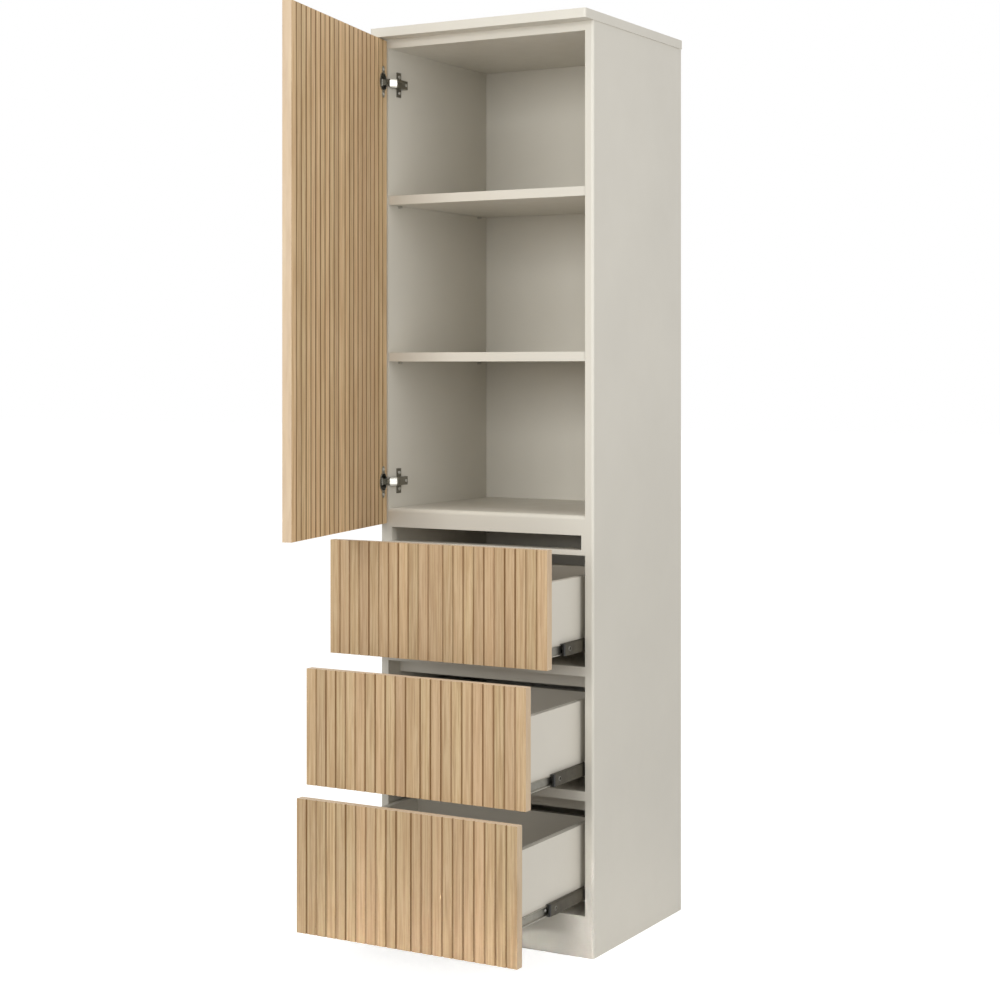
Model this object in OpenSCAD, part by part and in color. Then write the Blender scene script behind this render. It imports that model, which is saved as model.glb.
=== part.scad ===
// Tall storage cabinet: a door bay with two shelves above three drawers.
// Origin: middle of the back face at the floor. +X right, +Y towards the wall, +Z up.
// The door and the drawers stand open here; each has its rest opening below.

/* [Cabinet] */
// overall width across the side panels
width = 480; // [420:10:600]
// overall height to the top of the top board
height = 1800; // [1720:10:1900]
// depth of the side panels
depth = 400; // [380:5:480]
// thickness of every carcass board
board = 18; // [16:1:20]
// thickness of the back panel
back_thick = 6; // [4:1:8]
// width of the rebate in each side panel that takes the back panel
rebate = 8; // [6:1:10]
// radius of each side panel's upright outer front edge
side_round = 5; // [1:1:8]
// clearance of the back panel at each edge
back_clear = 0.3; // [0.1:0.1:1]

/* [Top board] */
// overhang of the top board in front of the side panels
top_front = 37; // [30:1:45]
// overhang of the top board beyond each side panel
top_side = 2; // [0:1:6]
// radius of the top board's upright front corners
top_corner = 4; // [1:1:8]

/* [Bays] */
// height of the plinth
plinth = 61; // [50:1:80]
// clear height of the bottom drawer bay
bay_high_low = 219; // [215:1:240]
// clear height of the middle drawer bay
bay_high_mid = 219; // [215:1:240]
// clear height of the top drawer bay, up to the deck board
bay_high_top = 270; // [265:1:290]
// height of the lower shelf above the deck
shelf_low_at = 294; // [240:1:330]
// height of the upper shelf above the deck
shelf_high_at = 609; // [560:1:660]
// how far a shelf's front edge stands back
shelf_back = 1; // [0:1:20]
// clearance between a shelf and each side panel
shelf_clear = 0.75; // [0.5:0.25:1.5]
// radius of the deck board's upper front edge
deck_round = 8; // [1:1:9]
// height of the rail under the deck board
deck_rail_high = 20; // [15:1:26]
// thickness of the grip rail over the top drawer
grip_thick = 10; // [8:1:14]
// finger space between the deck rail and the grip rail
grip_gap = 28; // [20:1:32]
// depth of the grip rail, front to back
grip_deep = 30; // [18:1:60]
// width of the posts at the ends of the grip rail
post_wide = 8; // [6:1:12]
// depth of those posts, front to back
post_deep = 18; // [12:1:18]
// height of the apron under each divider
apron_high = 28; // [20:1:30]
// thickness of each apron
apron_thick = 12; // [10:1:16]
// how far the aprons stand back from the front edge
apron_back = 45; // [12:1:60]

/* [Fronts] */
// thickness of the door and the drawer fronts
front_thick = 18; // [16:1:20]
// gap between the carcass and the closed fronts
front_gap = 4; // [4:0.5:6]
// how far each front stays inside the cabinet's outer edges
front_side = 2; // [1:0.5:4]
// height of the lowest front's bottom edge above the floor
front_bottom = 57; // [40:1:60]
// finger gap between neighbouring fronts
front_step = 20; // [12:1:24]
// height of the bottom drawer's front
front_low = 253; // [246:1:258]
// height of the middle drawer's front
front_mid = 221; // [214:1:226]
// height of the top drawer's front
front_top = 219; // [210:1:224]
// gap between the door and the top board
door_top_gap = 3; // [2:0.5:6]
// width of one slat of the fluted fronts, groove included
slat_pitch = 22.2; // [18:0.1:32]
// width of the wider slat in the middle of each front
middle_slat = 32; // [24:0.5:44]
// width of the grooves between the slats
groove_wide = 3; // [2:0.5:4]
// depth of the grooves
groove_deep = 2.5; // [2:0.5:3.5]
// chamfer along the edges of each slat
slat_chamfer = 0.8; // [0.2:0.1:1]
// angle at which the door stands open
door_open = 78; // [0:1:95]

/* [Drawers] */
// opening of the top drawer
pull_top = 160; // [0:5:340]
// opening of the middle drawer
pull_mid = 240; // [0:5:340]
// opening of the bottom drawer
pull_low = 272; // [0:1:340]
// height of the drawer boxes
box_high = 140; // [110:1:150]
// length of the drawer boxes behind their fronts
box_long = 360; // [330:10:380]
// thickness of the drawer boxes' boards
box_board = 12; // [10:1:15]
// height of a drawer box above the board below it
box_lift = 31; // [20:1:36]
// thickness of the drawer bottoms
bottom_thick = 4; // [3:1:5]
// height of a drawer bottom above the lower edge of its box
bottom_lift = 9; // [6:1:14]
// depth of the groove that holds a drawer bottom
bottom_groove = 5; // [4:0.5:6]
// clearance of a drawer bottom in its groove
bottom_clear = 0.1; // [0.05:0.05:0.2]

/* [Runners] */
// length of each runner
runner_long = 350; // [300:10:360]
// width of a runner, which is the gap beside each drawer box
runner_wide = 12.7; // [12.7:0.1:13.5]
// height of the runner's cabinet member
runner_high = 30; // [27:1:34]
// sheet thickness of the runner members
runner_sheet = 1.2; // [1:0.1:1.3]
// height of the runner's middle line above the box's lower edge
runner_lift = 11; // [9:1:16]
// distance of the runner's front end behind the carcass front
runner_back = 6; // [6:1:10]
// distance from the side panel to the middle member
middle_at = 3.2; // [2.8:0.1:3.4]
// distance from the side panel to the big balls' centres
ball_at = 6; // [5.6:0.1:6.2]
// radius of the bearing balls between cabinet and middle member
ball_r = 1.3; // [1.1:0.1:1.4]
// distance from the side panel to the small balls' centres
small_at = 9.4; // [9.2:0.1:9.6]
// radius of the bearing balls between middle and drawer member
small_r = 0.7; // [0.5:0.1:0.8]
// gap between a big ball's middle line and the lips of its races
lip_big = 0.35; // [0.2:0.05:0.6]
// gap between a small ball's middle line and the lips of its races
lip_small = 0.25; // [0.15:0.05:0.4]
// running clearance round each ball
ball_clear = 0.04; // [0.02:0.01:0.06]
// distance between neighbouring balls
ball_pitch = 14; // [8:1:16]
// number of balls in each row
ball_count = 4; // [3:1:5]
// distance of the rearmost big ball's back from the middle member's rear end
big_back = 2; // [1:0.5:8]
// distance of the first small ball behind the middle member's front end
small_back = 34; // [26:1:60]
// thickness of the black end cap on the middle member
cap_long = 6; // [4:1:6]
// length of the cap's tongue inside the middle member
tongue_long = 9; // [6:1:12]
// width of the middle and drawer members' flanges, counted from the side panel
flange_to = 11.2; // [11:0.1:11.4]
// distance of the cap's opening from the side panel
cap_open = 6.4; // [6:0.1:6.6]
// radius of the access holes in the middle member
access_r = 3; // [2:0.5:4]
// distance of the access holes behind the middle member's front end
access_back = 18; // [16:1:24]
// radius of the screw holes in the cabinet and drawer members
runner_hole = 2.2; // [1.8:0.1:2.6]
// distance of the first screw hole behind a member's front end
hole_first = 33; // [28:1:40]
// distance of the middle screw hole behind a member's front end
hole_mid = 129; // [100:1:150]
// distance of the last screw hole in front of a member's rear end
hole_last = 93; // [60:1:120]

/* [Hinges] */
// distance of each hinge from the door's top and bottom edge
hinge_end = 84; // [70:1:140]
// radius of the hinge cup
cup_r = 17.5; // [16.5:0.5:20]
// depth of the hinge cup
cup_deep = 11.5; // [11:0.5:12.5]
// sheet thickness of the cup
cup_sheet = 0.8; // [0.6:0.1:1]
// clearance between the cup and its bore in the door
cup_clear = 0.05; // [0.02:0.01:0.1]
// distance from the door's edge to the cup's edge
cup_edge = 3; // [2.5:0.5:4]
// length of the cup's flange
flange_long = 63; // [58:1:66]
// width of the flange's rim round the cup
flange_rim = 1.5; // [1:0.5:3]
// radius of the flange's screw holes
flange_hole = 2; // [1.6:0.1:2.4]
// thickness of the cup's flange
flange_thick = 1.2; // [1:0.1:1.3]
// radius of the flange's ends
flange_end = 6.5; // [5.5:0.5:7]
// radius of the hinge pin
pin_r = 1; // [0.8:0.1:1.1]
// running clearance of the hinge pin
pin_clear = 0.05; // [0.02:0.01:0.08]
// sheet thickness of the two ears that hold the pin
ear_sheet = 1.2; // [1:0.1:1.5]
// clearance between the ears and the hook
ear_clear = 0.3; // [0.2:0.05:0.5]
// wall of the knuckle round the pin
knuckle_wall = 1; // [0.8:0.1:1.1]
// pin axis measured from the door's edge
pin_in = 7.75; // [7.5:0.25:8]
// pin axis measured from the door's inner face
pin_deep = 7.5; // [7.3:0.1:7.7]
// width of the hinge arm's hook, along the pin
hook_wide = 12; // [10:0.5:12]
// sheet thickness of the hook
hook_sheet = 2; // [1.5:0.1:2]
// gap between the hook and the side panel's inner face
hook_gap = 2.25; // [2.25:0.05:2.6]
// width of the hinge arm's channel
arm_wide = 17; // [16:0.5:20]
// sheet thickness of the hinge arm
arm_sheet = 1.5; // [1.2:0.1:2]
// height of the hinge arm above the side panel
arm_high = 13; // [11:0.5:15]
// length of the hinge arm inside the cabinet
arm_long = 56; // [50:1:64]
// distance behind the carcass front at which the arm reaches its full height
arm_nose = 12; // [10:1:15]
// chamfer at the arm's rear end
arm_chamfer = 4; // [2:0.5:6]
// clearance between the arm and its mounting plate
arm_clear = 0.2; // [0.1:0.05:0.3]
// distance of the arm's clamping screw behind the plate's screws
clamp_back = 9; // [7:1:10]
// radius of the clamping screw's hole in the arm
clamp_hole = 2.2; // [2:0.1:2.4]
// radius of the clamping screw's hole in the plate
clamp_bore = 1.8; // [1.5:0.1:1.9]
// thickness of the cross-shaped mounting plate
plate_thick = 2; // [1.5:0.1:2.2]
// length of the mounting plate's wings, tip to tip
wing_long = 50; // [46:1:56]
// width of the mounting plate's wings
wing_wide = 15; // [12:1:18]
// distance of the plate's screws behind the carcass front
plate_back = 37; // [33:1:38]
// spacing of the plate's screws
plate_pitch = 32; // [28:1:36]
// radius of the plate's screw holes
plate_hole = 2.5; // [2:0.1:2.6]

/* [Shelf pins] */
// radius of the shelf pins
peg_r = 2.5; // [2:0.25:3]
// depth of the pin holes in the side panels
peg_deep = 9; // [7:0.5:11]
// clearance of a pin in its hole
peg_clear = 0.05; // [0.02:0.01:0.1]
// depth left free behind a pin in its hole
peg_free = 0.5; // [0.2:0.1:1]
// length of a pin inside the cabinet
peg_out = 8; // [6:0.5:12]
// distance of the pins from a shelf's front and back edge
peg_edge = 37; // [30:1:60]

/* [Hidden] */
$fn = 32;
inner_x = width / 2 - board;
front_y = -depth;
z_bottom = plinth + board;
z_div2 = z_bottom + bay_high_low;
z_floor2 = z_div2 + board;
z_div1 = z_floor2 + bay_high_mid;
z_floor1 = z_div1 + board;
z_deck = z_floor1 + bay_high_top;
z_deck_top = z_deck + board;
z_top = height - board;
z_sub = z_top - board;
door_z = front_bottom + front_low + front_mid + front_top + 3 * front_step;
door_high = z_top - door_top_gap - door_z;
front_wide = width - 2 * front_side;
side_slats = round((front_wide - middle_slat) / 2 / slat_pitch);
slat_step = (front_wide - middle_slat) / 2 / side_slats;
face_y = front_y - front_gap;
box_x = inner_x - runner_wide;
pin_x = -front_wide / 2 + pin_in;
pin_y = face_y - pin_deep;
cup_x = -front_wide / 2 + cup_edge + cup_r;
knuckle_r = pin_r + pin_clear + knuckle_wall;
hook_x = -inner_x + hook_gap;
ear_in = hook_wide / 2 + ear_clear;
ear_out = ear_in + ear_sheet;
arm_back_y = front_y + arm_long;
plate_y = front_y + plate_back;
hinge_z = [door_z + hinge_end, door_z + door_high - hinge_end];
ball_z = runner_high / 2 - runner_sheet - ball_clear - ball_r;
mid_half = ball_z - ball_r - ball_clear;
race_mid = mid_half - runner_sheet;
small_z = race_mid - small_r - ball_clear;
drawer_half = small_z - small_r - ball_clear;
runner_y = front_y + runner_back;
screw_places = [runner_y + hole_first, runner_y + hole_mid, runner_y + runner_long - hole_last];

// a board given by its lower corner and its upper corner
module slab(a, b) {
    translate(a)
        cube(b - a);
}

// a horizontal board between the side panels, from the front to the back panel
module between(z, thick, y_front = front_y, y_back = -back_thick) {
    slab([-inner_x, y_front, z], [inner_x, y_back, z + thick]);
}

// places its children at the shelf pins of one side panel
module peg_places(side) {
    for (z = [z_deck_top + shelf_low_at, z_deck_top + shelf_high_at])
        for (y = [front_y + shelf_back + peg_edge, -back_thick - peg_edge])
            translate([side * inner_x, y, z - peg_r])
                rotate([0, side * 90, 0])
                    children();
}

// plan of the right-hand side panel: rounded outer front edge, rebate for the back panel
module side_plan() {
    difference() {
        union() {
            translate([inner_x, front_y + side_round])
                square([board, depth - side_round]);
            translate([inner_x, front_y])
                square([board - side_round, side_round + 1]);
            translate([width / 2 - side_round, front_y + side_round])
                circle(r = side_round);
        }
        translate([inner_x - 1, -back_thick])
            square([rebate + 1, back_thick + 1]);
    }
}

// a side panel with its pin holes, and the hinge plates' holes on the left
module side_panel(side) {
    difference() {
        mirror([side < 0 ? 1 : 0, 0, 0])
            linear_extrude(z_top)
                side_plan();
        peg_places(side)
            translate([0, 0, -1])
                cylinder(r = peg_r + peg_clear, h = peg_deep + 1);
        if (side < 0)
            for (z = hinge_z)
                plate_holes(z, peg_deep);
    }
}

// the two screw holes of a mounting plate, cut to a depth in the side panel
module plate_holes(z, deep) {
    for (s = [-1, 1])
        translate([-inner_x - deep, plate_y, z + s * plate_pitch / 2])
            rotate([0, 90, 0])
                cylinder(r = plate_hole, h = deep + arm_high);
}

module side_left() color("#cbc6bd") side_panel(-1);
module side_right() color("#cbc6bd") side_panel(1);

// top board with rounded upright front corners
module top_board() {
    x = width / 2 + top_side;
    y = front_y - top_front;
    color("#eeede9")
        translate([0, 0, z_top])
            linear_extrude(board)
                union() {
                    translate([-x, y + top_corner])
                        square([2 * x, -y - top_corner]);
                    translate([-x + top_corner, y])
                        square([2 * (x - top_corner), top_corner + 1]);
                    for (s = [-1, 1])
                        translate([s * (x - top_corner), y + top_corner])
                            circle(r = top_corner);
                }
}

module sub_top() color("#d8d4ca") between(z_sub, board);
module divider_upper() color("#d8d4ca") between(z_div1, board);
module divider_lower() color("#d8d4ca") between(z_div2, board);
module bottom_board() color("#d8d4ca") between(plinth, board);

module shelf(z) {
    slab([-inner_x + shelf_clear, front_y + shelf_back, z],
        [inner_x - shelf_clear, -back_thick - shelf_clear, z + board]);
}

module shelf_upper() color("#dedad0") shelf(z_deck_top + shelf_high_at);
module shelf_lower() color("#dedad0") shelf(z_deck_top + shelf_low_at);

// side view of the deck board from its front edge, which is rounded on top
module deck_plan() {
    long = depth - back_thick;
    square([long, board - deck_round]);
    translate([deck_round, 0])
        square([long - deck_round, board]);
    translate([deck_round, board - deck_round])
        circle(r = deck_round);
}

module deck_board() {
    color("#d8d4ca")
        translate([-inner_x, front_y, z_deck])
            rotate([90, 0, 90])
                linear_extrude(2 * inner_x)
                    deck_plan();
}

module deck_rail() {
    color("#d8d4ca")
        between(z_deck - deck_rail_high, deck_rail_high, front_y, front_y + board);
}

// thin rail with a post at each end, which leaves the finger space under the deck rail
module grip_rail() {
    z = z_deck - deck_rail_high - grip_gap;
    color("#c9c4b8") {
        between(z - grip_thick, grip_thick, front_y, front_y + grip_deep);
        for (x = [-inner_x, inner_x - post_wide])
            slab([x, front_y, z - grip_thick / 2], [x + post_wide, front_y + post_deep, z + grip_gap]);
    }
}

// a strip that stiffens a divider from below, set back from the front
module apron(z) {
    y = front_y + apron_back;
    between(z - apron_high, apron_high, y, y + apron_thick);
}

module apron_upper() color("#a8a296") apron(z_div1);
module apron_lower() color("#a8a296") apron(z_div2);
module plinth_front() color("#d8d4ca") between(0, plinth, front_y, front_y + board);
module plinth_back() color("#bdb8ac") between(0, plinth, -back_thick - board, -back_thick);

module back_panel() {
    x = inner_x + rebate - back_clear;
    color("#a9a394")
        slab([-x, -back_thick, 0], [x, 0, z_top]);
}

// shelf pins, half in their holes and half under the shelves
module shelf_pins() {
    color("#b8b8b4")
        for (side = [-1, 1])
            peg_places(side)
                translate([0, 0, -peg_out])
                    cylinder(r = peg_r, h = peg_out + peg_deep - peg_free);
}

// plan of a fluted board: slats on the front, and on the inner face too when both is true;
// a wider slat in the middle has as many slats on its left as on its right
module fluted_plan(both) {
    difference() {
        translate([-front_wide / 2, -front_thick])
            square([front_wide, front_thick]);
        for (s = [-1, 1], i = [0 : side_slats - 1])
            translate([s * (middle_slat / 2 + i * slat_step), 0]) {
                groove_plan(-front_thick);
                if (both)
                    groove_plan(0);
            }
    }
}

// one groove with a round bottom and chamfered edges, cut into the face at y
module groove_plan(y) {
    inward = y < 0 ? 1 : -1;
    bottom = groove_deep - groove_wide / 2;
    half = groove_wide / 2;
    translate([-half, y < 0 ? y - 1 : -bottom])
        square([groove_wide, bottom + 1]);
    translate([0, y + inward * bottom])
        circle(r = half);
    wide = half + slat_chamfer;
    polygon([[-wide, y], [wide, y], [0, y + inward * wide]]);
}

module fluted(z, high, both = false) {
    translate([0, face_y, z])
        linear_extrude(high)
            fluted_plan(both);
}

// turns what is drawn closed about the hinge pins to the door's opening
module on_door() {
    translate([pin_x, pin_y, 0])
        rotate([0, 0, -door_open])
            translate([-pin_x, -pin_y, 0])
                children();
}

module door_panel() {
    color("#c8a577")
        on_door()
            difference() {
                fluted(door_z, door_high, true);
                for (z = hinge_z)
                    translate([cup_x, face_y + 1, z])
                        rotate([90, 0, 0])
                            cylinder(r = cup_r + cup_clear, h = cup_deep + cup_clear + 1, $fn = 64);
            }
}

// the flange that carries the cup on the door's inner face
module flange_plan() {
    end = flange_long / 2 - flange_end;
    difference() {
        union() {
            circle(r = cup_r + flange_rim, $fn = 64);
            translate([-flange_end, -end])
                square([2 * flange_end, 2 * end]);
            for (s = [-1, 1])
                translate([0, s * end])
                    circle(r = flange_end);
        }
        circle(r = cup_r - cup_sheet, $fn = 64);
        for (s = [-1, 1])
            translate([0, s * end])
                circle(r = flange_hole);
    }
}

// cup, flange and the two ears that hold the pin
module hinge_cup(z) {
    inside = cup_r - cup_sheet;
    on_door() {
        translate([cup_x, face_y, z])
            rotate([90, 0, 0]) {
                difference() {
                    translate([0, 0, -flange_thick / 2])
                        cylinder(r = cup_r, h = cup_deep + flange_thick / 2, $fn = 64);
                    translate([0, 0, -flange_thick])
                        cylinder(r = inside, h = cup_deep - cup_sheet + flange_thick, $fn = 64);
                }
                translate([0, 0, -flange_thick])
                    linear_extrude(flange_thick)
                        flange_plan();
            }
        for (s = [-1, 1])
            translate([pin_x, pin_y, z + (s > 0 ? ear_in : -ear_out)])
                linear_extrude(ear_out - ear_in)
                    ear_plan();
    }
}

// one ear, standing on the cup's bottom and bored for the pin
module ear_plan() {
    low = cup_deep - pin_deep - cup_sheet / 2;
    r = pin_r + knuckle_wall;
    difference() {
        union() {
            circle(r = r);
            translate([-r, -low])
                square([2 * r, low]);
        }
        circle(r = pin_r + pin_clear / 2);
    }
}

module hinge_pin(z) {
    on_door()
        translate([pin_x, pin_y, z - ear_out])
            cylinder(r = pin_r, h = 2 * ear_out);
}

// side view of the arm's channel, from the hook up to its full height
module arm_plan() {
    low = -inner_x + plate_thick + arm_clear;
    high = -inner_x + arm_high;
    polygon([[hook_x, front_y - 1], [hook_x + hook_sheet, front_y - 1], [high, front_y + arm_nose],
        [high, arm_back_y - arm_chamfer], [high - arm_chamfer, arm_back_y], [low, arm_back_y],
        [low, front_y + arm_nose / 2]]);
}

// the hook that reaches round the side panel's edge to the pin
module hook_plan() {
    difference() {
        union() {
            translate([pin_x, pin_y])
                circle(r = knuckle_r);
            translate([pin_x, pin_y - hook_sheet / 2])
                square([hook_x - pin_x + hook_sheet, hook_sheet]);
            translate([hook_x, pin_y - hook_sheet / 2])
                square([hook_sheet, front_y + 0.75 * arm_nose - pin_y + hook_sheet / 2]);
        }
        translate([pin_x, pin_y])
            circle(r = pin_r + pin_clear);
    }
}

// arm: a channel open to the mounting plate, with the hook at its front
module hinge_arm(z) {
    difference() {
        translate([0, 0, z - arm_wide / 2])
            linear_extrude(arm_wide)
                arm_plan();
        slab([-inner_x, front_y + arm_nose - hook_sheet, z - arm_wide / 2 + arm_sheet],
            [-inner_x + arm_high - arm_sheet, arm_back_y + 1, z + arm_wide / 2 - arm_sheet]);
        translate([-inner_x, plate_y + clamp_back, z])
            rotate([0, 90, 0])
                cylinder(r = clamp_hole, h = arm_high + 1);
    }
    translate([0, 0, z - hook_wide / 2])
        linear_extrude(hook_wide)
            hook_plan();
}

// cross-shaped mounting plate with the block that the arm is clamped on
module hinge_plate(z) {
    block = arm_wide / 2 - arm_sheet - arm_clear;
    y = plate_y - wing_wide;
    difference() {
        union() {
            slab([-inner_x, plate_y - wing_wide / 2, z - wing_long / 2],
                [-inner_x + plate_thick, plate_y + wing_wide / 2, z + wing_long / 2]);
            slab([-inner_x, y, z - arm_wide / 2],
                [-inner_x + plate_thick, arm_back_y - arm_chamfer, z + arm_wide / 2]);
            slab([-inner_x, y, z - block],
                [-inner_x + arm_high - arm_sheet, arm_back_y - arm_chamfer, z + block]);
        }
        plate_holes(z, 1);
        translate([-inner_x - 1, plate_y + clamp_back, z])
            rotate([0, 90, 0])
                cylinder(r = clamp_bore, h = arm_high + 2);
    }
}

module hinge_cup_upper() color("#b9b9b6") hinge_cup(hinge_z[1]);
module hinge_pin_upper() color("#8d8d8a") hinge_pin(hinge_z[1]);
module hinge_arm_upper() color("#c4c4c1") hinge_arm(hinge_z[1]);
module hinge_plate_upper() color("#a5a5a2") hinge_plate(hinge_z[1]);
module hinge_cup_lower() color("#b9b9b6") hinge_cup(hinge_z[0]);
module hinge_pin_lower() color("#8d8d8a") hinge_pin(hinge_z[0]);
module hinge_arm_lower() color("#c4c4c1") hinge_arm(hinge_z[0]);
module hinge_plate_lower() color("#a5a5a2") hinge_plate(hinge_z[0]);

// a drawer front, drawn closed and moved out by its opening
module drawer_front(z, high, floor_z, pull) {
    translate([0, -pull, 0])
        difference() {
            fluted(z, high);
            bottom_slot(floor_z);
        }
}

// the groove for the drawer bottom, through the four boards of one box
module bottom_slot(floor_z) {
    x = box_x - box_board + bottom_groove;
    z = floor_z + box_lift + bottom_lift;
    slab([-x, face_y - bottom_groove, z], [x, face_y + box_long - box_board + bottom_groove,
        z + bottom_thick + 2 * bottom_clear]);
}

module drawer_side(side, floor_z, pull) {
    x = side > 0 ? box_x - box_board : -box_x;
    z = floor_z + box_lift;
    translate([0, -pull, 0])
        difference() {
            slab([x, face_y, z], [x + box_board, face_y + box_long, z + box_high]);
            bottom_slot(floor_z);
        }
}

module drawer_back(floor_z, pull) {
    x = box_x - box_board;
    y = face_y + box_long;
    z = floor_z + box_lift;
    translate([0, -pull, 0])
        difference() {
            slab([-x, y - box_board, z], [x, y, z + box_high]);
            bottom_slot(floor_z);
        }
}

module drawer_bottom(floor_z, pull) {
    x = box_x - box_board + bottom_groove - bottom_clear;
    z = floor_z + box_lift + bottom_lift + bottom_clear;
    translate([0, -pull, 0])
        slab([-x, face_y - bottom_groove + bottom_clear, z],
            [x, face_y + box_long - box_board + bottom_groove - bottom_clear,
            z + bottom_thick]);
}

module drawer_top_front() color("#cfae80") drawer_front(door_z - front_step - front_top, front_top,
    z_floor1, pull_top);
module drawer_top_side_left() color("#dbd7cd") drawer_side(-1, z_floor1, pull_top);
module drawer_top_side_right() color("#dbd7cd") drawer_side(1, z_floor1, pull_top);
module drawer_top_back() color("#d2cec4") drawer_back(z_floor1, pull_top);
module drawer_top_bottom() color("#c4c0b5") drawer_bottom(z_floor1, pull_top);
module drawer_mid_front() color("#cfae80") drawer_front(front_bottom + front_low + front_step,
    front_mid, z_floor2, pull_mid);
module drawer_mid_side_left() color("#dbd7cd") drawer_side(-1, z_floor2, pull_mid);
module drawer_mid_side_right() color("#dbd7cd") drawer_side(1, z_floor2, pull_mid);
module drawer_mid_back() color("#d2cec4") drawer_back(z_floor2, pull_mid);
module drawer_mid_bottom() color("#c4c0b5") drawer_bottom(z_floor2, pull_mid);
module drawer_low_front() color("#cfae80") drawer_front(front_bottom, front_low, z_bottom,
    pull_low);
module drawer_low_side_left() color("#dbd7cd") drawer_side(-1, z_bottom, pull_low);
module drawer_low_side_right() color("#dbd7cd") drawer_side(1, z_bottom, pull_low);
module drawer_low_back() color("#d2cec4") drawer_back(z_bottom, pull_low);
module drawer_low_bottom() color("#c4c0b5") drawer_bottom(z_bottom, pull_low);

// extrudes a profile into a left and a right runner member; x of the profile counts from the wall
module runner_pair(floor_z, y, long) {
    z = floor_z + box_lift + runner_lift;
    for (side = [-1, 1])
        translate([side * inner_x, y, z])
            mirror([side > 0 ? 1 : 0, 0, 0])
                rotate([90, 0, 0])
                    mirror([0, 0, 1])
                        linear_extrude(long)
                            children();
}

// half of a ball race: a ring round the ball's centre, kept above or below its lip
module race(x, z, r, lip, up) {
    far = r + ball_clear + runner_sheet;
    translate([x, z])
        intersection() {
            difference() {
                circle(r = far);
                circle(r = r + ball_clear);
            }
            translate([-far, up ? lip : -far - lip])
                square([2 * far, far]);
        }
}

// a plain channel: web at its wall side or its drawer side, and two flanges
module channel(x0, x1, half, web_right = false) {
    difference() {
        translate([x0, -half])
            square([x1 - x0, 2 * half]);
        translate([web_right ? x0 - 1 : x0 + runner_sheet, -half + runner_sheet])
            square([x1 - x0 - runner_sheet + 1, 2 * (half - runner_sheet)]);
    }
}

// repeats a flange's races above and below the middle line
module both_flanges() {
    children();
    mirror([0, 1, 0])
        children();
}

module cabinet_profile() {
    channel(0, ball_at, runner_high / 2);
    both_flanges()
        race(ball_at, ball_z, ball_r, lip_big, true);
}

module middle_profile() {
    difference() {
        channel(middle_at, flange_to, mid_half);
        both_flanges()
            translate([small_at, small_z])
                circle(r = small_r + ball_clear);
    }
    both_flanges() {
        race(ball_at, ball_z, ball_r, lip_big, false);
        race(small_at, small_z, small_r, lip_small, true);
    }
}

module drawer_profile() {
    channel(small_at, runner_wide, drawer_half, true);
    both_flanges()
        race(small_at, small_z, small_r, lip_small, false);
}

// holes through a web, bored from the side panel
module web_holes(floor_z, places, r) {
    for (y = places, side = [-1, 1])
        translate([side * (inner_x + 1), y, floor_z + box_lift + runner_lift])
            rotate([0, -side * 90, 0])
                cylinder(r = r, h = 1 + runner_wide);
}

module runner_cabinet(floor_z) {
    difference() {
        runner_pair(floor_z, runner_y, runner_long)
            cabinet_profile();
        web_holes(floor_z, screw_places, runner_hole);
    }
}

module runner_middle(floor_z, pull) {
    translate([0, -pull / 2, 0])
        difference() {
            runner_pair(floor_z, runner_y, runner_long)
                middle_profile();
            web_holes(floor_z, [runner_y + access_back], access_r);
        }
}

module runner_drawer(floor_z, pull) {
    translate([0, -pull, 0])
        difference() {
            runner_pair(floor_z, runner_y, runner_long)
                drawer_profile();
            web_holes(floor_z, screw_places, runner_hole);
        }
}

// rows of bearing balls: big ones at the middle member's rear end, small ones near its front
module runner_balls(floor_z, pull) {
    z = floor_z + box_lift + runner_lift;
    rear = runner_y + runner_long - ball_r - big_back;
    for (side = [-1, 1], s = [-1, 1], i = [0 : ball_count - 1]) {
        translate([side * (inner_x - ball_at), rear - i * ball_pitch - pull / 2, z + s * ball_z])
            sphere(r = ball_r);
        translate([side * (inner_x - small_at), runner_y + small_back + i * ball_pitch - pull / 2,
            z + s * small_z])
            sphere(r = small_r);
    }
}

// black cap on the middle member's front end, with a tongue inside its channel
module runner_guides(floor_z, pull) {
    translate([0, -pull / 2, 0]) {
        runner_pair(floor_z, runner_y - cap_long, cap_long)
            difference() {
                translate([middle_at, -mid_half])
                    square([flange_to - middle_at, 2 * mid_half]);
                translate([cap_open, -race_mid])
                    square([flange_to, 2 * race_mid]);
            }
        runner_pair(floor_z, runner_y - cap_long / 2, cap_long / 2 + tongue_long)
            translate([middle_at + runner_sheet, -race_mid])
                square([cap_open - middle_at - runner_sheet, 2 * race_mid]);
    }
}

module runner_top_cabinet() color("#8f9090") runner_cabinet(z_floor1);
module runner_top_middle() color("#a0a1a1") runner_middle(z_floor1, pull_top);
module runner_top_drawer() color("#b0b1b1") runner_drawer(z_floor1, pull_top);
module runner_top_balls() color("#d0d0d0") runner_balls(z_floor1, pull_top);
module runner_top_guides() color("#222222") runner_guides(z_floor1, pull_top);
module runner_mid_cabinet() color("#8f9090") runner_cabinet(z_floor2);
module runner_mid_middle() color("#a0a1a1") runner_middle(z_floor2, pull_mid);
module runner_mid_drawer() color("#b0b1b1") runner_drawer(z_floor2, pull_mid);
module runner_mid_balls() color("#d0d0d0") runner_balls(z_floor2, pull_mid);
module runner_mid_guides() color("#222222") runner_guides(z_floor2, pull_mid);
module runner_low_cabinet() color("#8f9090") runner_cabinet(z_bottom);
module runner_low_middle() color("#a0a1a1") runner_middle(z_bottom, pull_low);
module runner_low_drawer() color("#b0b1b1") runner_drawer(z_bottom, pull_low);
module runner_low_balls() color("#d0d0d0") runner_balls(z_bottom, pull_low);
module runner_low_guides() color("#222222") runner_guides(z_bottom, pull_low);

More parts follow.
